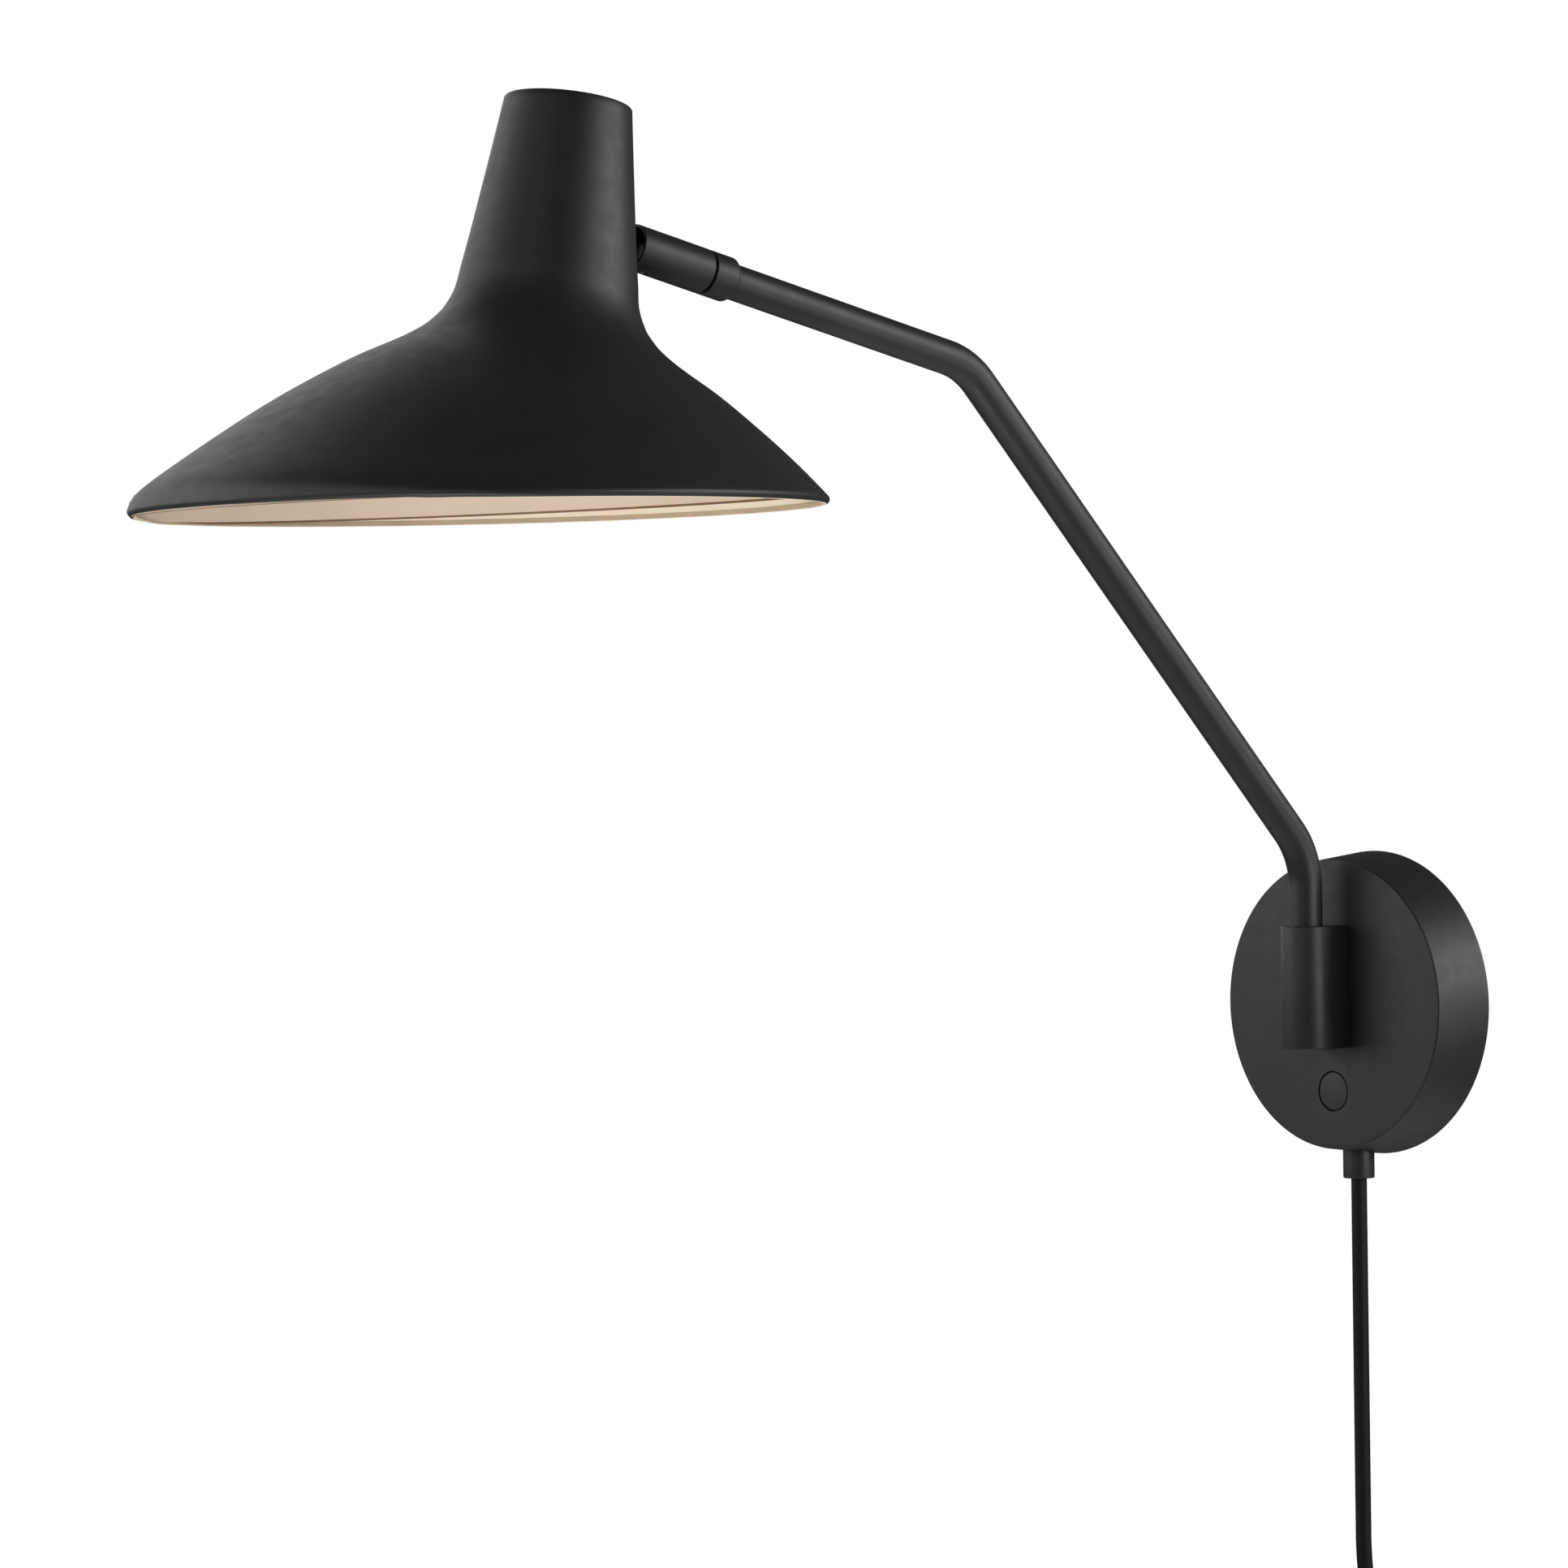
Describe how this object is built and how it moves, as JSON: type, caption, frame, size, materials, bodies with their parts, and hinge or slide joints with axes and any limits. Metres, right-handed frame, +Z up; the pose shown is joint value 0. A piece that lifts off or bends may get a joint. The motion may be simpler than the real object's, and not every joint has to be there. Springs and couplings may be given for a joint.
{
  "type": "swing arm wall sconce",
  "caption": "Plug-in wall light: round canopy with a push button, bent tube arm swinging in an upright hub, and a swivelling, tilting conical metal shade with a cream inside.",
  "frame": {"origin": "centre of the back face of the wall bracket, on the wall", "axes": "+Z up, +Y into the wall, the lamp reaches out along -Y, +X to the right seen from the room"},
  "size_m": [0.2472, 0.5625, 0.7577],
  "materials": {
    "black_paint": "fine textured satin black powder coat",
    "cream_paint": "matt cream paint",
    "steel": "zinc plated steel",
    "brass": "plain brass",
    "black_plastic": "moulded black plastic",
    "white_plastic": "moulded white plastic",
    "opal_glass": "opal diffuser",
    "cord_sheath": "black cord sheath with faint ribs"
  },
  "bodies": {
    "wall_base": {"wall_bracket": "steel", "canopy_housing": "black_paint", "canopy_lock_screw": "steel", "hub_block": "black_paint", "hub_screw_lower": "steel", "hub_screw_upper": "steel", "arm_bush_upper": "black_plastic", "arm_bush_lower": "black_plastic", "arm_thrust_washer": "brass", "switch_module": "black_plastic", "switch_screw_left": "steel", "switch_screw_right": "steel", "switch_spring": "steel", "terminal_block": "white_plastic", "terminal_screw_live": "brass", "terminal_screw_neutral": "brass", "terminal_fixing_screw": "steel", "supply_lead": "black_plastic", "canopy_lead": "black_plastic", "cord_grip": "black_plastic", "cord_grip_nut": "black_plastic", "cord_lead": "cord_sheath", "cord_coil": "cord_sheath", "cord_tail": "cord_sheath", "cord_tie": "black_plastic", "plug_strain_relief": "black_plastic", "plug_body": "black_plastic", "plug_pin_left": "steel", "plug_pin_right": "steel"},
    "arm": {"arm_tube": "black_paint", "arm_lead": "black_plastic", "arm_end_plug": "steel", "arm_retaining_screw": "steel", "arm_collar": "black_paint", "swivel_nipple": "steel", "swivel_washer": "black_plastic", "swivel_spring_washer": "steel", "swivel_locknut": "steel"},
    "knuckle": {"knuckle_sleeve": "black_paint", "knuckle_tongue": "black_paint", "knuckle_grub_screw": "steel"},
    "head": {"shade_shell": "black_paint", "shade_liner": "cream_paint", "tilt_bracket": "steel", "tilt_bolt": "steel", "tilt_nut": "steel", "tilt_washer_left": "black_plastic", "tilt_washer_right": "black_plastic", "neck_screw_upper": "black_paint", "neck_screw_lower": "black_paint", "holder_nipple": "steel", "holder_locknut": "steel", "holder_cap": "white_plastic", "holder_skirt": "white_plastic", "holder_ring": "white_plastic", "contact_insert": "white_plastic", "bulb_cap": "steel", "bulb_body": "white_plastic", "bulb_globe": "opal_glass"},
    "button": {"switch_button": "black_paint"}
  },
  "joints": [
    {"name": "arm_swing", "type": "hinge", "parent": "wall_base", "child": "arm", "pos_m": [0, -0.0395, 0.02], "axis": [0, 0, 1], "range_deg": [-75, 75]},
    {"name": "head_swivel", "type": "hinge", "parent": "arm", "child": "knuckle", "pos_m": [0, -0.342, 0.2734], "axis": [0, -0.9755, 0.2199], "range_deg": [-90, 90]},
    {"name": "head_tilt", "type": "hinge", "parent": "knuckle", "child": "head", "pos_m": [0, -0.3866, 0.2834], "axis": [-1, 0, 0], "range_deg": [-12, 30]},
    {"name": "switch_press", "type": "slide", "parent": "wall_base", "child": "button", "axis": [0, 1, 0], "range_m": [0, 0.002], "stiffness_N_per_m": 400, "springref_m": -0.0005}
  ]
}
